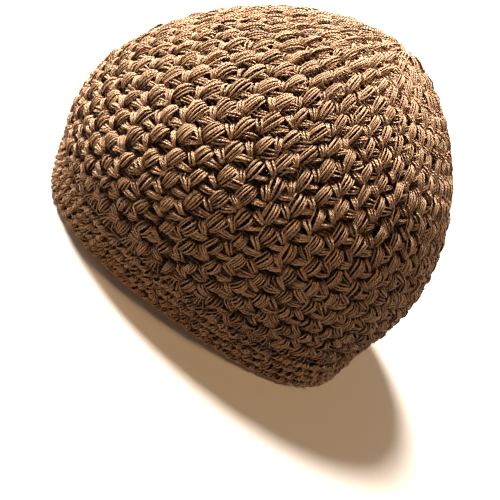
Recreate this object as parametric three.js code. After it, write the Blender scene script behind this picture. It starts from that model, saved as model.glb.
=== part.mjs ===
// Kufi: a crocheted skull cap of thick cotton yarn, closed at the crown and open at the rim.
// Millimetres, +Z up, resting on its rim. +X is the front of the cap and +Y its left side.
import * as THREE from 'three';

// Sizes of the cap's outer face
const halfLength = 101;         // front to back, at the widest level
const halfWidth = 91;           // side to side, at the widest level
const capHeight = 147;          // rim to crown centre
const widestHeight = 42;        // the level where the cap is widest
const crownLean = 14;           // how far behind the rim's middle the crown centre lies
const backSwell = 1;            // the back is fuller than the front by this much each way
const cornerSwell = 1.2;        // the four corners are fuller than an oval
const rimTuck = 7;              // how far the band draws in, as the mean of all directions

// Sizes of the fabric
const fabricThickness = 4.8;    // over a raised round
const roundRelief = 1.7;        // a raised round over the groove beside it
const bandThickness = 4.4;      // over a round of the band
const bandRelief = 0.8;
const bandWidth = 20;           // from the rim's lower edge to the crown, along the fabric
const seamGap = 0.3;            // between the band and the crown
const footHeight = 3.5;         // the crown's flat foot, under its first round
const centreRadius = 3.5;       // the small closed ring that the cap is started from

// Counts
const crownRounds = 18;
const bandRounds = 4;
const growthRounds = 9;         // the rounds grow taller up to this one
const roundGrowth = 0.29;       // by this share of the first
const columns = 60;             // facets round the cap
const gapEvery = 3;             // one column in so many is open, in a round with gaps
const firstGapRound = 3;        // counted from the band
const lastGapRound = 13;
const gapRoundStep = 2;         // every second round between those has gaps

// The dome's curve: an exponent of 2 for both is an ellipse, and less is more pointed
const domeWidthPower = 1.64;
const domeHeightPower = 1.8;
const tuckPower = 1.46;         // how quickly the tuck eases off above the rim
const roundReach = 0.2;         // the dome is round within this share of its widest radius
const fullReach = 0.8;          // and has its full corners outside this share

// The tuck round the rim, as waves with so many lobes, each a share of the mean tuck
const tuckWaves = [
  { lobes: 0, share: 1.0 },
  { lobes: 1, share: 1.1 },
  { lobes: 2, share: -0.36 },
  { lobes: 3, share: 0.28 },
  { lobes: 4, share: 0.28 },
];

// Colours of the cotton in daylight
const yarnColour = 0x8a6b52;
const bandColour = 0x7f614a;
const yarnRoughness = 0.85;

// A point of the smooth outer face. A level from 0 to 1 climbs from the rim to the widest
// level, and from 1 to 2 over the dome to the crown centre.
function facePoint(angle, level) {
  const climb = Math.min(level, 1);
  const bend = Math.max(level - 1, 0) * Math.PI / 2;
  const reach = Math.cos(bend) ** (2 / domeWidthPower);
  const dome = Math.sin(bend) ** (2 / domeHeightPower);
  const height = widestHeight * climb + (capHeight - widestHeight) * dome;
  const fullness = THREE.MathUtils.smoothstep(reach, roundReach, fullReach);
  const swell = -(cornerSwell * Math.cos(4 * angle) + backSwell * Math.cos(3 * angle)) * fullness;
  const waves = tuckWaves.reduce((sum, wave) => sum + wave.share * Math.cos(wave.lobes * angle), 0);
  const tuck = rimTuck * waves * (1 - climb) ** tuckPower;
  return new THREE.Vector3(
    (halfLength * reach + swell - tuck) * Math.cos(angle) - crownLean * height / capHeight,
    (halfWidth * reach + swell - tuck) * Math.sin(angle),
    height,
  );
}

// The outward direction of the smooth face, square to it
function faceNormal(angle, level) {
  const step = 0.002;
  const low = Math.max(level - step, 0);
  const high = Math.min(level + step, 2 - step);
  const across = facePoint(angle, high).sub(facePoint(angle, low));
  const along = facePoint(angle + step, Math.min(level, 2 - step));
  along.sub(facePoint(angle - step, Math.min(level, 2 - step)));
  return along.cross(across).normalize();
}

// Lengths along the fabric from the rim, at even steps of level, on the cap's left side
const levelSteps = 400;
const sideLengths = [0];
for (let i = 1; i <= levelSteps; i += 1) {
  const before = facePoint(Math.PI / 2, 2 * (i - 1) / levelSteps);
  const after = facePoint(Math.PI / 2, 2 * i / levelSteps);
  sideLengths.push(sideLengths[i - 1] + before.distanceTo(after));
}
const meridian = sideLengths[levelSteps];

// The level that lies a given length along the fabric from the rim
function levelAt(length) {
  let i = 1;
  while (i < levelSteps && sideLengths[i] < length) {
    i += 1;
  }
  const share = (length - sideLengths[i - 1]) / (sideLengths[i] - sideLengths[i - 1]);
  return 2 * (i - 1 + THREE.MathUtils.clamp(share, 0, 1)) / levelSteps;
}

// A wall from rows of vertices: each row has its length along the fabric and its depth under
// the smooth face. Cells for which isOpen(row, column) is true are cut through. The wall is
// closed at its lower edge, and at its upper edge too, unless it ends in a closed crown.
function fabricWall(rows, thickness, isOpen, closedCrown) {
  const positions = [];
  const indices = [];
  const addFace = (depthOf) => {
    const first = positions.length / 3;
    for (const row of rows) {
      for (let column = 0; column < columns; column += 1) {
        const angle = 2 * Math.PI * column / columns;
        const level = levelAt(row.length);
        const point = facePoint(angle, level);
        point.addScaledVector(faceNormal(angle, level), -depthOf(row));
        positions.push(point.x, point.y, row.onFloor ? 0 : point.z);
      }
    }
    return first;
  };
  const outer = addFace((row) => row.depth);
  const inner = addFace(() => thickness);
  const cell = (base, row, column) => base + row * columns + column % columns;
  const quad = (a, b, c, d) => indices.push(a, b, c, a, c, d);
  for (let row = 0; row < rows.length - 1; row += 1) {
    for (let column = 0; column < columns; column += 1) {
      const corners = [[row, column], [row, column + 1], [row + 1, column + 1], [row + 1, column]];
      const out = corners.map(([r, c]) => cell(outer, r, c));
      const back = corners.map(([r, c]) => cell(inner, r, c));
      if (!isOpen(row, column)) {
        quad(out[0], out[1], out[2], out[3]);
        quad(back[3], back[2], back[1], back[0]);
        continue;
      }
      for (let side = 0; side < 4; side += 1) {
        const next = (side + 1) % 4;
        quad(out[side], out[next], back[next], back[side]);
      }
    }
  }
  const last = rows.length - 1;
  for (let column = 0; column < columns; column += 1) {
    quad(cell(inner, 0, column), cell(inner, 0, column + 1), cell(outer, 0, column + 1), cell(outer, 0, column));
    if (!closedCrown) {
      quad(cell(outer, last, column), cell(outer, last, column + 1),
        cell(inner, last, column + 1), cell(inner, last, column));
    }
  }
  if (closedCrown) {
    const crown = facePoint(0, 2);
    for (const [base, depth, outward] of [[outer, 0, true], [inner, thickness, false]]) {
      const tip = positions.length / 3;
      positions.push(crown.x, crown.y, crown.z - depth);
      for (let column = 0; column < columns; column += 1) {
        const pair = [cell(base, last, column), cell(base, last, column + 1)];
        indices.push(...(outward ? pair : pair.reverse()), tip);
      }
    }
  }
  const geometry = new THREE.BufferGeometry();
  geometry.setAttribute('position', new THREE.Float32BufferAttribute(positions, 3));
  geometry.setIndex(indices);
  geometry.computeVertexNormals();
  return geometry;
}

// Lengths from the rim to the grooves under and over each round of the crown
function roundEdges() {
  const start = bandWidth + seamGap + footHeight;
  const end = meridian - centreRadius;
  const heights = [];
  for (let round = 0; round < crownRounds; round += 1) {
    heights.push(1 + roundGrowth * THREE.MathUtils.smoothstep(round, 0, growthRounds));
  }
  const whole = heights.reduce((sum, height) => sum + height, 0);
  const edges = [start];
  for (const height of heights) {
    edges.push(edges[edges.length - 1] + (end - start) * height / whole);
  }
  return edges;
}

// The crown: raised rounds from the band to the crown centre, with the net's gaps between them
function crownGeometry() {
  const edges = roundEdges();
  const rows = [
    { length: bandWidth + seamGap, depth: roundRelief },
    { length: edges[0], depth: roundRelief },
  ];
  for (let round = 0; round < crownRounds; round += 1) {
    rows.push({ length: (edges[round] + edges[round + 1]) / 2, depth: 0 });
    rows.push({ length: edges[round + 1], depth: roundRelief });
  }
  const isOpen = (row, column) => {
    const round = (row - 2) / 2;
    const step = (round - firstGapRound) / gapRoundStep;
    return Number.isInteger(step) && step >= 0 && round <= lastGapRound
      && (column + step) % gapEvery === 0;
  };
  return fabricWall(rows, fabricThickness, isOpen, true);
}

// The rim band: four low rounds, level underneath where the cap rests
function bandGeometry() {
  const pitch = bandWidth / bandRounds;
  const rows = [{ length: 0, depth: bandRelief, onFloor: true }];
  for (let round = 0; round < bandRounds; round += 1) {
    rows.push({ length: (round + 0.5) * pitch, depth: 0 });
    rows.push({ length: (round + 1) * pitch, depth: bandRelief });
  }
  return fabricWall(rows, bandThickness, () => false, false);
}

function addPiece(group, name, geometry, color) {
  const material = new THREE.MeshStandardMaterial({ color, roughness: yarnRoughness, metalness: 0 });
  const mesh = new THREE.Mesh(geometry, material);
  mesh.name = name;
  group.add(mesh);
}

const kufi = new THREE.Group();
addPiece(kufi, 'crown', crownGeometry(), yarnColour);
addPiece(kufi, 'rim_band', bandGeometry(), bandColour);

// The origin stands on the floor under the middle of the cap's length and width
const middle = new THREE.Box3().setFromObject(kufi).getCenter(new THREE.Vector3());
kufi.position.set(-middle.x, -middle.y, 0);

export default kufi;
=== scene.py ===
import math
import time

import bpy
import numpy as np
from mathutils import Matrix


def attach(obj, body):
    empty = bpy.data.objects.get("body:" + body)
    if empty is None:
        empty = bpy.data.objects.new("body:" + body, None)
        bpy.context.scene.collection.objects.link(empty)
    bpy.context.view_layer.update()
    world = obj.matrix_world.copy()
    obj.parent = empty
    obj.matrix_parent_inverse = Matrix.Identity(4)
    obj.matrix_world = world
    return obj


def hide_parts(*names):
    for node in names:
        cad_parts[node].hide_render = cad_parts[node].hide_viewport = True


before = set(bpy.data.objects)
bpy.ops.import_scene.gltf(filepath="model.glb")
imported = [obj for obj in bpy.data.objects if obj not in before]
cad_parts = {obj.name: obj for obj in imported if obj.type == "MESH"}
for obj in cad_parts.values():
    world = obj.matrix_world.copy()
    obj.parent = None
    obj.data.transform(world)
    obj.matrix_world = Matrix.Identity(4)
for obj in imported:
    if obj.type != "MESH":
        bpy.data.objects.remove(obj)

startTime = time.time()
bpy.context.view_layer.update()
mm = 0.001


def report(text):
    print(f"[kufi] {time.time() - startTime:5.1f} s  {text}")


capForm = {
    "halfLength": 101.0,      # mm, at the widest level
    "halfWidth": 91.0,
    "capHeight": 147.0,
    "widestHeight": 42.0,
    "crownLean": 14.0,        # how far back the crown centre lies
    "backSwell": 1.0,
    "cornerSwell": 1.2,
    "rimTuck": 7.0,
    "forwardShift": 5.0,      # puts the middle of the length over the origin
    "domeWidthPower": 1.64,
    "domeHeightPower": 1.8,
    "tuckPower": 1.46,
    "roundReach": 0.2,
    "fullReach": 0.8,
    "tuckWaves": (1.0, 1.1, -0.36, 0.28, 0.28),   # shares of the tuck with 0, 1, 2, 3, 4 lobes
}


# Face: level 0..1 climbs from the rim to the widest level, 1..2 goes over the dome.
# reach = cos(bend)^(2/p), height = widest + rest * sin(bend)^(2/q), drawn in by the rim's waves.
def facePoint(angle, level):
    form = capForm
    climb = np.minimum(level, 1.0)
    bend = np.clip(level - 1.0, 0.0, 1.0) * np.pi / 2
    reach = np.abs(np.cos(bend)) ** (2 / form["domeWidthPower"])
    dome = np.abs(np.sin(bend)) ** (2 / form["domeHeightPower"])
    height = form["widestHeight"] * climb + (form["capHeight"] - form["widestHeight"]) * dome
    part = np.clip((reach - form["roundReach"]) / (form["fullReach"] - form["roundReach"]), 0, 1)
    fullness = part * part * (3 - 2 * part)
    swell = -(form["cornerSwell"] * np.cos(4 * angle) + form["backSwell"] * np.cos(3 * angle)) * fullness
    waves = sum(share * np.cos(lobes * angle) for lobes, share in enumerate(form["tuckWaves"]))
    tuck = form["rimTuck"] * waves * (1 - climb) ** form["tuckPower"]
    x = (form["halfLength"] * reach + swell - tuck) * np.cos(angle)
    y = (form["halfWidth"] * reach + swell - tuck) * np.sin(angle)
    x = x - form["crownLean"] * height / form["capHeight"] + form["forwardShift"]
    return np.stack([x, y, height + 0 * angle], axis=-1)


def unit(vectors):
    return vectors / np.maximum(np.linalg.norm(vectors, axis=-1, keepdims=True), 1e-9)


# Frame on the face: across runs round the cap, climb runs up the fabric, out is square to both.
def faceFrame(angle, level):
    step = 0.002
    inner = np.clip(level, step, 2 - step)
    across = facePoint(angle + step, inner) - facePoint(angle - step, inner)
    climb = facePoint(angle, inner + step) - facePoint(angle, inner - step)
    out = unit(np.cross(across, climb))
    return unit(across), unit(climb), out


levelTable = np.linspace(0, 2, 401)
sidePoints = facePoint(np.full(401, np.pi / 2), levelTable)
sideLengths = np.concatenate([[0], np.cumsum(np.linalg.norm(np.diff(sidePoints, axis=0), axis=1))])
meridian = sideLengths[-1]


# A place on the cap from turns round it, mm up the fabric and mm out from the face.
def onCap(turn, length, out):
    angle = 2 * np.pi * turn
    level = np.interp(np.clip(length, 0, meridian), sideLengths, levelTable)
    point = facePoint(angle, level)
    across, climb, normal = faceFrame(angle, level)
    below = np.minimum(length, 0)[..., None] * climb
    return point + normal * out[..., None] + below, across, climb, normal


# Painted shade and highlight: a strand's colour is darker on its flanks and lighter on its top.
flankShade = 0.62             # how much darker a strand's flank is than its top, on the tone's scale


# Curve: Catmull-Rom through the knots of every strand at once, knots (..., knots, 3).
def throughKnots(knots, count):
    last = knots.shape[-2] - 1
    place = np.linspace(0, last, count)
    index = np.minimum(place.astype(int), last - 1)
    t = (place - index)[:, None]
    p0 = knots[..., np.maximum(index - 1, 0), :]
    p1 = knots[..., index, :]
    p2 = knots[..., index + 1, :]
    p3 = knots[..., np.minimum(index + 2, last), :]
    return 0.5 * (2 * p1 + (p2 - p0) * t + (2 * p0 - 5 * p1 + 4 * p2 - p3) * t ** 2
                  + (3 * p1 - p0 - 3 * p2 + p3) * t ** 3)


# Tube: ring(s, a) = path(s) + radius(s) * (cos a * side + sin a * up), closed by a cap at each end.
class StrandHeap:
    def __init__(self, name, sides):
        self.name, self.sides = name, sides
        self.points, self.quads, self.caps, self.uvs, self.capUvs, self.tones = [], [], [], [], [], []
        self.count = 0

    # tones (strands, steps) are for a strand's middle: it is painted lighter where it faces outward and painted darker
    # on its flanks, a painted highlight and painted shade, tone + flankShade * facing.
    def add(self, paths, sideHint, radii, tones, outward):
        paths = paths.reshape(-1, paths.shape[-2], 3)
        strands, steps, _ = paths.shape
        sides = self.sides
        sideHint = np.broadcast_to(sideHint.reshape(-1, sideHint.shape[-2], 3), paths.shape)
        radii = np.broadcast_to(radii, (strands, steps))
        tangent = unit(np.gradient(paths, axis=1))
        side = unit(sideHint - (sideHint * tangent).sum(-1, keepdims=True) * tangent)
        up = np.cross(tangent, side)
        a = 2 * np.pi * np.arange(sides) / sides
        spoke = np.cos(a)[:, None] * side[:, :, None] + np.sin(a)[:, None] * up[:, :, None]
        ring = paths[:, :, None] + radii[:, :, None, None] * spoke
        outward = np.broadcast_to(outward.reshape(-1, outward.shape[-2], 3), paths.shape)
        facing = (spoke * outward[:, :, None]).sum(-1)
        index = self.count + np.arange(strands * steps * sides).reshape(strands, steps, sides)
        around = np.roll(index, -1, axis=2)
        quads = np.stack([index[:, :-1], around[:, :-1], around[:, 1:], index[:, 1:]], axis=-1)
        length = np.concatenate([np.zeros((strands, 1)), np.cumsum(
            np.linalg.norm(np.diff(paths, axis=1), axis=-1), axis=1)], axis=1)
        v = np.broadcast_to(length[:, :, None], (strands, steps, sides))
        u0 = np.broadcast_to(np.arange(sides) / sides, (strands, steps, sides))
        u1 = u0 + 1 / sides
        uv = np.stack([np.stack([u0[:, :-1], u1[:, :-1], u1[:, 1:], u0[:, 1:]], -1),
                       np.stack([v[:, :-1], v[:, :-1], v[:, 1:], v[:, 1:]], -1)], -1)
        caps = np.concatenate([index[:, 0, ::-1], index[:, -1]], axis=0)
        self.points.append(ring.reshape(-1, 3))
        self.quads.append(quads.reshape(-1, 4))
        self.uvs.append(uv.reshape(-1, 2))
        self.caps.append(caps)
        self.capUvs.append(np.zeros((caps.size, 2)))
        tones = np.broadcast_to(tones, (strands, steps))
        # painted highlight where the strand faces outward, painted shade on its flanks
        self.tones.append((tones[:, :, None] + flankShade * facing).ravel())
        self.count += strands * steps * sides

    def build(self, material):
        points = np.concatenate(self.points) * mm
        quads, caps = np.concatenate(self.quads), np.concatenate(self.caps)
        loops = np.concatenate([quads.ravel(), caps.ravel()]).astype(np.int32)
        starts = np.concatenate([np.arange(len(quads)) * 4,
                                 len(quads) * 4 + np.arange(len(caps)) * self.sides]).astype(np.int32)
        mesh = bpy.data.meshes.new(self.name)
        mesh.vertices.add(len(points))
        mesh.vertices.foreach_set("co", points.astype(np.float32).ravel())
        mesh.loops.add(len(loops))
        mesh.loops.foreach_set("vertex_index", loops)
        mesh.polygons.add(len(starts))
        mesh.polygons.foreach_set("loop_start", starts)
        mesh.update(calc_edges=True)
        mesh.polygons.foreach_set("use_smooth", np.ones(len(starts), dtype=bool))
        uvMap = mesh.uv_layers.new(name="plyMap")
        uvMap.data.foreach_set("uv", np.concatenate(self.uvs + self.capUvs).astype(np.float32).ravel())
        # tone per point: the strand's own tone, with the painted shade and highlight in it
        tone = mesh.attributes.new("tone", "FLOAT", "POINT")
        tone.data.foreach_set("value", np.concatenate(self.tones).astype(np.float32))
        mesh.materials.append(material)
        piece = bpy.data.objects.new(self.name, mesh)
        bpy.context.collection.objects.link(piece)
        triangles = 2 * len(quads) + (self.sides - 2) * len(caps)
        report(f"{self.name}: {triangles} triangles")
        return piece, triangles


def colour(hexText):
    parts = [int(hexText[i:i + 2], 16) / 255 for i in (1, 3, 5)]
    return tuple(c / 12.92 if c <= 0.04045 else ((c + 0.055) / 1.055) ** 2.4 for c in parts) + (1.0,)


def addNode(tree, kind, settings=None, **links):
    node = tree.nodes.new(kind)
    for key, value in (settings or {}).items():
        if isinstance(key, str) and hasattr(node, key):
            setattr(node, key, value)
        else:
            node.inputs[key].default_value = value
    for key, source in links.items():
        name = int(key[1:]) if key[0] == "i" and key[1:].isdigit() else key.replace("_", " ")
        tree.links.new(source, node.inputs[name])
    return node


# Cotton: plied and unmercerised, so it is matt with a soft bloom at the edges; the fine plies
# slant round each strand, and the dye takes a little unevenly from strand to strand.
# The colour runs from dark to light with the tone, which carries painted shade and painted highlights besides the
# strand's own tone.
def cottonYarn(name, darkHex, midHex, lightHex, plySlant):
    material = bpy.data.materials.new(name)
    material.use_nodes = True
    tree = material.node_tree
    tree.nodes.clear()
    place = addNode(tree, "ShaderNodeTexCoord")
    ply = addNode(tree, "ShaderNodeUVMap", {"uv_map": "plyMap"})
    split = addNode(tree, "ShaderNodeSeparateXYZ", i0=ply.outputs[0])
    # height of the plies = sin(2 pi * (strandPlies * around + length / plyLength))
    around = addNode(tree, "ShaderNodeMath", {"operation": "MULTIPLY", 1: plySlant["plies"]}, i0=split.outputs[0])
    along = addNode(tree, "ShaderNodeMath", {"operation": "DIVIDE", 1: plySlant["plyLength"]}, i0=split.outputs[1])
    total = addNode(tree, "ShaderNodeMath", {"operation": "ADD"}, i0=around.outputs[0], i1=along.outputs[0])
    turns = addNode(tree, "ShaderNodeMath", {"operation": "MULTIPLY", 1: 2 * math.pi}, i0=total.outputs[0])
    wave = addNode(tree, "ShaderNodeMath", {"operation": "SINE"}, i0=turns.outputs[0])
    fuzz = addNode(tree, "ShaderNodeTexNoise", {"Scale": 2200.0, "Detail": 2.0, "Roughness": 0.6},
                   Vector=place.outputs["Object"])
    blotch = addNode(tree, "ShaderNodeTexNoise", {"Scale": 38.0, "Detail": 2.0}, Vector=place.outputs["Object"])
    tone = addNode(tree, "ShaderNodeAttribute", {"attribute_name": "tone"})
    blend = addNode(tree, "ShaderNodeMath", {"operation": "MULTIPLY_ADD", 1: 0.35, 2: 0.0}, i0=blotch.outputs[0])
    mixed = addNode(tree, "ShaderNodeMath", {"operation": "ADD"}, i0=blend.outputs[0], i1=tone.outputs["Fac"])
    # painted highlight on the ply crests and painted shade in the grooves between them, 0.15 * ply height
    toneWithPaintedPlyLight = addNode(tree, "ShaderNodeMath", {"operation": "MULTIPLY_ADD", 1: 0.15}, i0=wave.outputs[0], i2=mixed.outputs[0])
    ramp = addNode(tree, "ShaderNodeValToRGB", i0=toneWithPaintedPlyLight.outputs[0])
    ramp.color_ramp.elements[0].position = 0.05
    ramp.color_ramp.elements[0].color = colour(darkHex)
    ramp.color_ramp.elements[1].position = 0.98
    ramp.color_ramp.elements[1].color = colour(lightHex)
    ramp.color_ramp.elements.new(0.55).color = colour(midHex)
    height = addNode(tree, "ShaderNodeMath", {"operation": "MULTIPLY_ADD", 1: 0.6}, i0=fuzz.outputs[0], i2=wave.outputs[0])
    bump = addNode(tree, "ShaderNodeBump", {"Strength": 0.7, "Distance": 0.00028}, Height=height.outputs[0])
    shader = addNode(tree, "ShaderNodeBsdfPrincipled", {
        "Roughness": 0.52, "Specular IOR Level": 0.4, "Sheen Weight": 0.06, "Sheen Roughness": 0.5,
        "Sheen Tint": colour("#e8c8a8")}, Base_Color=ramp.outputs[0], Normal=bump.outputs[0])
    addNode(tree, "ShaderNodeOutputMaterial", Surface=shader.outputs[0])
    return material


# Paper sweep: matt and nearly white, and it glows though it is no lamp, painted light that grows with the distance
# from the middle and is full where the sweep rises far from the cap, glow = wallGlow * smoothstep of the distance from
# the middle.
def paperSweep(name, hexText, radius, glow):
    material = bpy.data.materials.new(name)
    material.use_nodes = True
    tree = material.node_tree
    shader = tree.nodes["Principled BSDF"]
    shader.inputs["Base Color"].default_value = colour(hexText)
    shader.inputs["Roughness"].default_value = 0.9
    shader.inputs["Emission Color"].default_value = colour("#ffffff")
    place = addNode(tree, "ShaderNodeTexCoord")
    far = addNode(tree, "ShaderNodeVectorMath", {"operation": "LENGTH"}, i0=place.outputs["Object"])
    ramp = addNode(tree, "ShaderNodeMapRange", {"interpolation_type": "SMOOTHSTEP", "From Min": 0.10, "From Max": radius,
                                                "To Min": 0.0, "To Max": glow}, Value=far.outputs["Value"])
    tree.links.new(ramp.outputs["Result"], shader.inputs["Emission Strength"])
    return material


crownYarn = {
    "startLength": 23.8,      # mm up the fabric, where the crown meets the band
    "centreRadius": 3.5,
    "rounds": 18,
    "growthRounds": 9,        # the rounds grow taller up to this one
    "roundGrowth": 0.29,      # by this share of the first
    "changeFrom": 2,          # the stitches change shape slowly between these rounds
    "changeTo": 9,
    "closeFrom": 9,           # and the gaps close towards the crown centre
    "closeTo": 15,
    "stitches": 48,           # round the cap, up to where a stitch would be narrower than:
    "leastPitch": 6.6,        # mm
    "strandRadius": 0.42,     # mm
    "firstTurn": 0.64,        # shares of a stitch, for the first round
    "setBack": 0.5,           # and each round stands half a stitch off the one below
    "jitter": 0.19,           # mm, how far plies stray,
    "bow": 0.30,              # and how far they bend aside
    "seed": 11,
    # the yarn's colour ramp: the painted shade reaches down towards dark, the painted highlights up towards light
    "dark": "#2a1308",
    "mid": "#8c6a49",
    "light": "#dcba99",
}

random = np.random.default_rng(crownYarn["seed"])


def girthAt(length):
    turns = np.linspace(0, 1, 361)
    loop = onCap(turns, np.full(361, length), np.zeros(361))[0]
    return np.linalg.norm(np.diff(loop, axis=0), axis=1).sum()


# height of a round = 1 + growth * smoothstep(round / growthRounds), shared out over the crown
def roundTable():
    data = crownYarn
    climb = np.clip(np.arange(data["rounds"]) / data["growthRounds"], 0, 1)
    heights = 1 + data["roundGrowth"] * climb * climb * (3 - 2 * climb)
    heights *= (meridian - data["centreRadius"] - data["startLength"]) / heights.sum()
    starts = data["startLength"] + np.cumsum(heights) - heights
    closing = np.clip((np.arange(data["rounds"]) - data["closeFrom"]) / (data["closeTo"] - data["closeFrom"]), 0, 1)
    table = []
    for k in range(data["rounds"]):
        change = np.clip((k - data["changeFrom"]) / (data["changeTo"] - data["changeFrom"]), 0, 1)
        middle = starts[k] + heights[k] / 2
        girth = girthAt(middle)
        count = int(min(data["stitches"], round(girth / data["leastPitch"])))
        turn = (data["firstTurn"] + data["setBack"] * (k % 2) + random.normal(0, 0.02)) / count
        table.append({"middle": middle, "height": heights[k], "count": count, "pitch": girth / count, "turn": turn,
                      "change": change, "closing": closing[k]})
    return table


rounds = roundTable()
report("rounds: " + ", ".join(f"{r['count']}x{r['pitch']:.1f}" for r in rounds))


# Painted shade down between the plies: a ply's colour darkens the deeper it dips, fully at sunkDepth mm down.
sunkShade = 0.40              # a ply is darker where it dips between the others,
sunkDepth = 2.4               # mm down


# One sheaf for every stitch of a round. knots: rows of (share of pitch, share of height, mm out)
# for the sheaf's middle. spread: mm from it to the outer plies, by knot, along the way `across`.
# strand = middle + spread * lane * across, sunk by arch * lane^2, with lane from -1 to 1; each
# sheaf is then turned, stretched and fanned a little by its own chance.
def addSheaf(heap, row, knots, spread, lanes, arch, steps, radius, across=(1.0, 0.0), tone=0.47, loose=1.0,
             keep=1.0):
    count, pitch, height = row["count"], row["pitch"], row["height"]
    loose *= min(1.0, (pitch + 3) / 12)       # narrow stitches are drawn tighter
    stitches = np.flatnonzero(random.random(count) < keep)
    count = len(stitches)
    knots = np.array(knots, float) * np.array([pitch, height, 1.0])
    lane = np.linspace(-1, 1, lanes) if lanes > 1 else np.zeros(1)
    along = np.linspace(-1, 1, len(knots))
    fan = 1 + loose * (random.normal(0, 0.13, (count, 1)) + random.normal(0, 0.24, (count, 1)) * along)
    half = np.array(spread, float) * fan
    way = np.array([across[0], across[1], 0.0])
    local = knots + (half[:, None, :] * lane[:, None])[..., None] * way
    local[..., 2] -= arch * lane[:, None] ** 2
    middle = knots.mean(axis=0) * np.array([1, 1, 0])
    swing = loose * random.normal(0, 0.11, (count, 1, 1))
    stretch = 1 + loose * random.normal(0, 0.06, (count, 1, 1, 2))
    offset = local - middle
    offset[..., :2] *= stretch
    x = offset[..., 0] * np.cos(swing) - offset[..., 1] * np.sin(swing)
    y = offset[..., 0] * np.sin(swing) + offset[..., 1] * np.cos(swing)
    local = np.stack([x, y, offset[..., 2]], -1) + middle
    jitter = crownYarn["jitter"] * loose
    local += random.normal(0, jitter, (count, 1, 1, 3)) * np.array([2.0, 2.0, 1.2])
    local += random.normal(0, jitter * 0.8, (count, lanes, 1, 3)) * np.array([1.0, 1.0, 1.3])
    local += random.normal(0, jitter * 0.5, local.shape)
    bow = random.normal(0, crownYarn["bow"] * loose, (count, lanes, 1, 1)) * (1 - along ** 2)[:, None]
    local += bow * np.array([across[0], across[1], 0.7])
    path = throughKnots(local, steps)
    turn = row["turn"] + (stitches[:, None, None] + path[..., 0] / pitch) / row["count"]
    place, round_, climb, out = onCap(turn, row["middle"] + path[..., 1], path[..., 2])
    hint = across[0] * round_ + across[1] * climb
    taper = np.ones(steps)
    taper[0] = taper[-1] = 0.65
    thick = radius * (1 + random.normal(0, 0.09, (count * lanes, 1))) * taper
    place[..., 2] = np.maximum(place[..., 2], radius * 1.2)
    tones = tone + random.normal(0, 0.06, (count, 1)) + random.normal(0, 0.17, (count, lanes))
    # painted shade where the ply dips between the others, less of it where the gaps have closed
    shade = sunkShade * (1 - 0.35 * row.get("closing", 0)) * np.clip(-path[..., 2] / sunkDepth, 0, 1)
    heap.add(place, hint, thick, (tones[..., None] - shade).reshape(count * lanes, steps), out)


# The sheaves of a stitch low on the crown and of one high on it, each knot as (share of pitch,
# share of height, mm out), and how far each knot is fanned to either side.
# post: the upright sheaf, narrow at its foot and fanned at its top, where it turns in; fan in pitches
post = {
    "low": [(-0.05, -0.42, -3.0), (-0.06, -0.50, -1.6), (-0.04, -0.34, -0.1), (-0.01, -0.04, 1.05), (0.0, 0.24, 1.25),
            (0.0, 0.44, -0.2), (0.0, 0.48, -2.6)],
    "high": [(0.04, -0.48, -3.0), (0.05, -0.58, -1.3), (0.04, -0.38, 0.2), (0.0, -0.05, 1.1), (-0.02, 0.28, 1.05),
             (-0.03, 0.52, -0.3), (-0.03, 0.56, -2.6)],
    "lowFan": [0.10, 0.13, 0.175, 0.21, 0.205, 0.17, 0.12],
    "highFan": [0.12, 0.15, 0.20, 0.25, 0.265, 0.24, 0.19],
}
# wrap: plies that slant down to the right over the post's foot; fan in mm
wrap = {
    "low": [(-0.22, -0.28, -2.4), (-0.30, -0.36, -0.8), (-0.21, -0.46, 0.5), (-0.05, -0.58, 0.85), (0.11, -0.71, 0.5),
            (0.18, -0.78, -1.6)],
    "high": [(-0.28, -0.18, -2.4), (-0.37, -0.25, -0.9), (-0.28, -0.36, 0.4), (-0.13, -0.49, 0.8), (0.04, -0.63, 0.4),
             (0.11, -0.71, -1.6)],
    "fan": [0.9, 1.3, 1.3, 1.1, 0.75, 0.45],
}
# bridge: plies that rise to the right across the gap below, and close a sideways V with the wrap
bridge = {
    "low": [(-0.20, -1.10, -2.6), (-0.26, -1.14, -0.9), (-0.13, -1.09, 0.2), (0.03, -1.00, 0.55), (0.18, -0.91, 0.2),
            (0.24, -0.84, -1.8)],
    "high": [(-0.24, -1.08, -2.6), (-0.28, -1.10, -0.9), (-0.15, -1.03, 0.1), (0.0, -0.93, 0.4), (0.14, -0.83, 0.1),
             (0.22, -0.75, -1.8)],
    "fan": [1.0, 1.35, 1.3, 1.0, 0.7, 0.4],
}
# foot: short fans on the band, wide below, between the posts of the first round; fan in pitches
foot = {
    "knots": [(0.0, 0.66, -2.6), (0.0, 0.54, -1.7), (0.0, 0.22, -0.6), (0.0, -0.14, -0.2), (0.0, -0.44, -0.5),
              (0.0, -0.54, -2.2)],
    "fan": [0.12, 0.16, 0.24, 0.33, 0.40, 0.36],
    "middle": 22.6,           # mm up the fabric
    "height": 4.8,
}
footDrop = np.array([0.30, 0.30, 0.20, 0.06, 0.0, 0.0, 0.0])     # the first round's posts stand taller


def between(low, high, share):
    return np.array(low) * (1 - share) + np.array(high) * share


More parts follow.
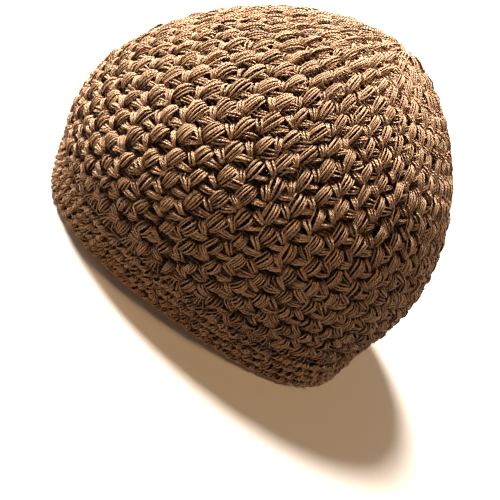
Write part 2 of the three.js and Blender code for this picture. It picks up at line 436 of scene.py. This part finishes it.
def stitchRound(outer, inner, row, first):
    wide, change = row["pitch"], row["change"]
    r = crownYarn["strandRadius"] * min(1.0, 0.70 + 0.30 * wide / 11)
    lanes = 6 if wide > 8.5 else 5
    knots = between(post["low"], post["high"], change)
    fan = between(post["lowFan"], post["highFan"], change) * wide
    if first:
        knots[:, 1] -= footDrop
        fan = fan * (1 - 1.8 * footDrop)
        under = dict(row, middle=foot["middle"], height=foot["height"], turn=row["turn"] + 0.5 / row["count"])
        addSheaf(outer, under, foot["knots"], np.array(foot["fan"]) * wide, 6, 0.2, 6, r * 0.95)
    addSheaf(outer, row, knots, fan, lanes, 0.75, 7, r)
    addSheaf(outer, row, between(wrap["low"], wrap["high"], change), wrap["fan"], 4 if wide > 7.5 else 3, 0.2, 6, r,
             across=(0.62, 0.78), keep=0.3 if first else 1.0)
    if not first:
        addSheaf(outer, row, between(bridge["low"], bridge["high"], change), bridge["fan"], 4 if wide > 10 else 3, 0.2,
                 6, r, across=(-0.2, 0.98))
    # behind: the post's back, plies across the gaps with slits between, and two that run round the cap
    sunk = np.array([1.0, 1.0, 1 - 0.55 * row["closing"]])
    # The backs are painted dark, painted shade for the depth they lie at, and lighter where the gaps close towards the
    # crown centre.
    tone = 0.12 + 0.33 * row["closing"]
    addSheaf(inner, row, sunk * [(0.0, -0.5, -3.2), (0.0, -0.2, -4.0), (0.0, 0.2, -4.0), (0.0, 0.48, -3.2)],
             [1.6] * 4, 3, 0.1, 4, 1.0, tone=tone)
    addSheaf(inner, row, sunk * [(0.04, -0.13, -3.3), (0.33, -0.10, -3.9), (0.67, -0.10, -3.9), (0.96, -0.13, -3.3)],
             [2.9] * 4, 4, 0.0, 4, 1.1, across=(0.0, 1.0), tone=tone, loose=0.35)
    for level, depth in ((0.42, -2.9), (0.54, -4.0)):
        addSheaf(inner, row, sunk * [(-0.52, level, depth), (-0.17, level + 0.05, depth - 0.2),
                                     (0.17, level + 0.05, depth + 0.1), (0.52, level, depth)],
                 [0.0] * 4, 1, 0.0, 5, 0.95, across=(0.0, 1.0), tone=tone)


centreRing = {"petals": 7, "strands": 4}


def stitchCentre(heap, inner):
    data = centreRing
    row = {"count": data["petals"], "pitch": 2 * np.pi * 2.6 / data["petals"], "height": 4.6,
           "middle": meridian - 2.6, "turn": 0.31}
    wide = row["pitch"]
    addSheaf(heap, row, [(0.0, -0.72, -2.8), (0.0, -0.62, -1.0), (0.0, -0.2, -0.1), (0.0, 0.2, -0.2),
                         (0.0, 0.42, -1.3), (0.0, 0.46, -2.8)],
             np.array([0.45, 0.45, 0.42, 0.32, 0.2, 0.15]) * wide, data["strands"], 0.4, 7, 0.42, loose=0.6)
    # the centre's backs are painted darker too, painted shade
    addSheaf(inner, row, [(0.0, -0.6, -3.0), (0.0, -0.2, -3.9), (0.0, 0.2, -3.9), (0.0, 0.45, -3.2)],
             np.array([0.5, 0.45, 0.3, 0.2]) * wide, 3, 0.3, 5, 0.7, tone=0.25)


bandYarn = {
    "width": 20.0,            # mm along the fabric
    "rounds": 4,
    "stitches": 96,           # single stitches, two for each one of the crown
    "strandRadius": 0.52,     # mm
    "ringSteps": 144,
    # The band's mid and light are the crown's yarn painted lighter: painted light for the band.
    "dark": "#2a1308",
    "mid": "#906f50",
    "light": "#d8b590",
}


# A ply that runs all round the cap: out = depth + ripple * sin(waves * turn).
def addRing(heap, length, depth, radius, ripple, waves, shift, tone):
    steps = bandYarn["ringSteps"]
    turn = np.linspace(0, 1, steps + 1)
    wave = np.sin(2 * np.pi * (waves * turn + shift))
    place, across, climb, out = onCap(turn, length + 0.5 * ripple * np.roll(wave, 1), depth + ripple * wave)
    place[:, 2] = np.maximum(place[:, 2], radius * 1.02)
    # painted shade for the depth the ply lies at
    shade = sunkShade * np.clip(-depth / sunkDepth, 0, 1)
    heap.add(place[None], climb[None], np.full((1, steps + 1), radius), np.full((1, steps + 1), tone - shade), out[None])


def stitchBand(heap, inner):
    data = bandYarn
    height = data["width"] / data["rounds"]
    r = data["strandRadius"]
    for k in range(data["rounds"]):
        middle = (k + 0.5) * height
        girth = girthAt(middle)
        row = {"count": data["stitches"], "pitch": girth / data["stitches"], "height": height, "middle": middle,
               "turn": 0.17 * k / data["stitches"]}
        lift = 0.10 if k == 0 else 0.0
        # one plump knot for each stitch, and the ply that slants deeper to the next one
        # both painted lighter than the crown's sheaves, painted light, and the deeper slanting ply a little darker,
        # painted shade
        addSheaf(heap, row, [(-0.13, -0.46 + lift, -2.5), (-0.12, -0.36 + lift, -0.6), (-0.04, -0.12 + lift, 0.95),
                             (0.05, 0.12, 1.0), (0.09, 0.31, -0.3), (0.09, 0.41, -2.5)],
                 [0.6, 0.95, 1.25, 1.2, 0.9, 0.5], 4, 0.6, 6, r, tone=0.66, loose=1.15)
        addSheaf(heap, row, [(0.20, -0.40 + lift, -2.3), (0.30, -0.28 + lift, -0.9), (0.50, 0.04, -0.25),
                             (0.70, 0.30, -0.9), (0.78, 0.38, -2.3)],
                 [0.3, 0.5, 0.6, 0.5, 0.3], 2, 0.0, 5, r * 1.05, across=(0.8, -0.6), tone=0.56, loose=1.15)
        # plies behind the knots, painted dark: painted shade
        for share, depth in ((0.5, -1.9), (0.15, -2.5), (-0.2, -2.5), (0.4, -3.9), (0.0, -3.9), (-0.35, -3.9)):
            addRing(inner, middle + share * height, depth, 0.85, 0.2, data["stitches"] / 4, random.random(), 0.1)
    # the cast edge: two plies lie along the very rim, and one more behind them, painted darker the deeper they lie:
    # painted shade.
    addRing(heap, 0.75, -0.7, 0.62, 0.1, 24, 0.0, 0.5)
    addRing(heap, 0.8, -2.0, 0.7, 0.1, 24, 0.4, 0.4)
    addRing(inner, 0.85, -3.4, 0.75, 0.1, 24, 0.7, 0.3)


cottonMaterial = cottonYarn("plied cotton yarn, taupe", crownYarn["dark"], crownYarn["mid"], crownYarn["light"],
                            {"plies": 3, "plyLength": 1.4})
bandMaterial = cottonYarn("plied cotton yarn, taupe, worked tight, painted lighter", bandYarn["dark"], bandYarn["mid"],
                          bandYarn["light"], {"plies": 3, "plyLength": 1.4})

pieces = []
innerLow, innerHigh = StrandHeap("crown_lower_backs", 4), StrandHeap("crown_upper_backs", 4)
for name, members in (("crown_lower_stitches", range(0, 4)), ("crown_middle_stitches", range(4, 8)),
                      ("crown_upper_stitches", range(8, 12)), ("crown_top_stitches", range(12, 18))):
    heap = StrandHeap(name, 5)
    for k in members:
        stitchRound(heap, innerLow if k < 9 else innerHigh, rounds[k], k == 0)
    if 17 in members:
        stitchCentre(heap, innerHigh)
    pieces.append((heap.build(cottonMaterial), "crown", "crown_yarn"))
# three plies round the cap behind where the band meets the crown, painted dark: painted shade
for length in (20.9, 22.5, 24.1):
    addRing(innerLow, length, -3.3, 0.85, 0.2, 24, random.random(), 0.3)
pieces.append((innerLow.build(cottonMaterial), "crown", "crown_yarn"))
pieces.append((innerHigh.build(cottonMaterial), "crown", "crown_yarn"))
bandHeap, bandInner = StrandHeap("rim_band_stitches", 5), StrandHeap("rim_band_backs", 4)
stitchBand(bandHeap, bandInner)
pieces.append((bandHeap.build(bandMaterial), "rim_band", "band_yarn"))
pieces.append((bandInner.build(bandMaterial), "rim_band", "band_yarn"))
for (piece, triangles), node, slot in pieces:
    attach(piece, "root")
    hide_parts(node)
report(f"all stitches: {sum(triangles for (piece, triangles), node, slot in pieces)} triangles")


studio = {
    "floorRadius": 1.3,       # m, flat out to here
    "wallRadius": 3.0,
    "wallHeight": 2.6,
    "floorHex": "#f4f2ef",
    "wallGlow": 0.9,
    "skyHex": "#fbf7f2",
    "underHex": "#b5703c",    # what the shaded side gets from below, warm and dim
    "skyStrength": 0.06,
    "underShare": 2.6,
    "keyPower": 37.5,
    "fillPower": 3.8,
    "lowPower": 2.7,
    "edgePower": 7.0,
}


# Sweep: flat out to the floor radius, then a quarter of an ellipse up to the wall's height, all round.
def sweepFloor():
    data = studio
    flat = np.linspace(0.02, data["floorRadius"], 12)
    bend = np.linspace(0, np.pi / 2, 25)[1:]
    radius = np.concatenate([flat, data["floorRadius"] + (data["wallRadius"] - data["floorRadius"]) * np.sin(bend)])
    height = np.concatenate([0 * flat, data["wallHeight"] * (1 - np.cos(bend))])
    turn = 2 * np.pi * np.arange(96) / 96
    points = np.stack([radius[:, None] * np.cos(turn), radius[:, None] * np.sin(turn),
                       np.broadcast_to(height[:, None], (len(radius), 96))], -1)
    index = np.arange(len(radius) * 96).reshape(len(radius), 96)
    around = np.roll(index, -1, axis=1)
    quads = np.stack([index[:-1], index[1:], around[1:], around[:-1]], -1).reshape(-1, 4)
    mesh = bpy.data.meshes.new("studio_floor")
    mesh.from_pydata(points.reshape(-1, 3).tolist(), [], quads.tolist() + [index[0].tolist()])
    mesh.polygons.foreach_set("use_smooth", np.ones(len(mesh.polygons), dtype=bool))
    mesh.materials.append(paperSweep("matt white paper, painted glow", data["floorHex"], data["floorRadius"], data["wallGlow"]))
    floor = bpy.data.objects.new("studio_floor", mesh)
    bpy.context.collection.objects.link(floor)
    floor.visible_diffuse = False         # the thin paper lets the low light through
    floor.visible_shadow = False


sweepFloor()

# Camera as fitted to the cap's outline: where it stands, and the ways its right and up point.
view = {
    "stand": (60.54, 368.23, 194.23),             # mm
    "right": (-0.77578, -0.12978, 0.61751),
    "up": (0.60045, -0.45268, 0.6592),
    "focal": 764.66,                              # in pixels of a picture 500 wide
}


def placeCamera():
    right = np.array(view["right"])
    up = np.array(view["up"])
    right /= np.linalg.norm(right)
    up -= (up @ right) * right
    up /= np.linalg.norm(up)
    back = np.cross(right, up)
    stand = np.array(view["stand"]) * mm
    data = bpy.data.cameras.new("camera")
    data.sensor_width = 36.0
    data.lens = 36.0 * view["focal"] / 500
    data.clip_start, data.clip_end = 0.01, 20
    camera = bpy.data.objects.new("camera", data)
    bpy.context.collection.objects.link(camera)
    camera.matrix_world = Matrix([[right[i], up[i], back[i], stand[i]] for i in range(3)] + [[0, 0, 0, 1]])
    bpy.context.scene.camera = camera
    return right, up, back


cameraRight, cameraUp, cameraBack = placeCamera()


def addLight(name, away, size, power, hexText, toward=(0.0, 0.0, 0.07)):
    data = bpy.data.lights.new(name, "AREA")
    data.shape, data.size, data.energy = "DISK", size, power
    data.color = colour(hexText)[:3]
    light = bpy.data.objects.new(name, data)
    bpy.context.collection.objects.link(light)
    away = np.array(away, float)
    back = unit(away)
    right = unit(np.cross((0.0, 0.0, 1.0), back) + np.array((1e-6, 0, 0)))
    up = np.cross(back, right)
    place = np.array(toward) + away
    light.matrix_world = Matrix([[right[i], up[i], back[i], place[i]] for i in range(3)] + [[0, 0, 0, 1]])
    return light


keyWay = unit(0.15 * cameraRight + 0.98 * cameraUp + 0.22 * cameraBack)
fillWay = unit(0.72 * cameraRight + 0.38 * cameraUp + 0.58 * cameraBack)
addLight("key_light", keyWay * 1.15, 0.32, studio["keyPower"], "#fff6ee")
addLight("fill_light", fillWay * 1.15, 0.15, studio["fillPower"], "#ffd29c")
edgeWay = unit(np.array((0.93, -0.36, -0.03)))
lowWay = unit(-0.82 * cameraRight - 0.15 * cameraUp + 0.55 * cameraBack)
addLight("low_light", lowWay * 1.15, 0.15, studio["lowPower"], "#ffddb6")
addLight("edge_light", edgeWay * 1.15, 0.30, studio["edgePower"], "#fff0e0")


# Air: even soft light from above, fading at the horizon into a dim warm light from below.
def studioAir():
    world = bpy.data.worlds.new("studio_air")
    bpy.context.scene.world = world
    world.use_nodes = True
    tree = world.node_tree
    way = addNode(tree, "ShaderNodeTexCoord")
    split = addNode(tree, "ShaderNodeSeparateXYZ", i0=way.outputs["Generated"])
    ramp = addNode(tree, "ShaderNodeValToRGB")
    rise = addNode(tree, "ShaderNodeMath", {"operation": "MULTIPLY_ADD", 1: 0.5, 2: 0.5}, i0=split.outputs[2])
    tree.links.new(rise.outputs[0], ramp.inputs[0])
    share = studio["underShare"]
    ramp.color_ramp.elements[0].position = 0.42
    ramp.color_ramp.elements[0].color = [share * c for c in colour(studio["underHex"])[:3]] + [1.0]
    ramp.color_ramp.elements[1].position = 0.62
    ramp.color_ramp.elements[1].color = colour(studio["skyHex"])
    background = tree.nodes["Background"]
    tree.links.new(ramp.outputs[0], background.inputs[0])
    background.inputs[1].default_value = studio["skyStrength"]


studioAir()
bpy.context.scene.view_settings.view_transform = "Standard"
bpy.context.scene.view_settings.look = "Medium High Contrast"
report("floor, light and camera are placed")
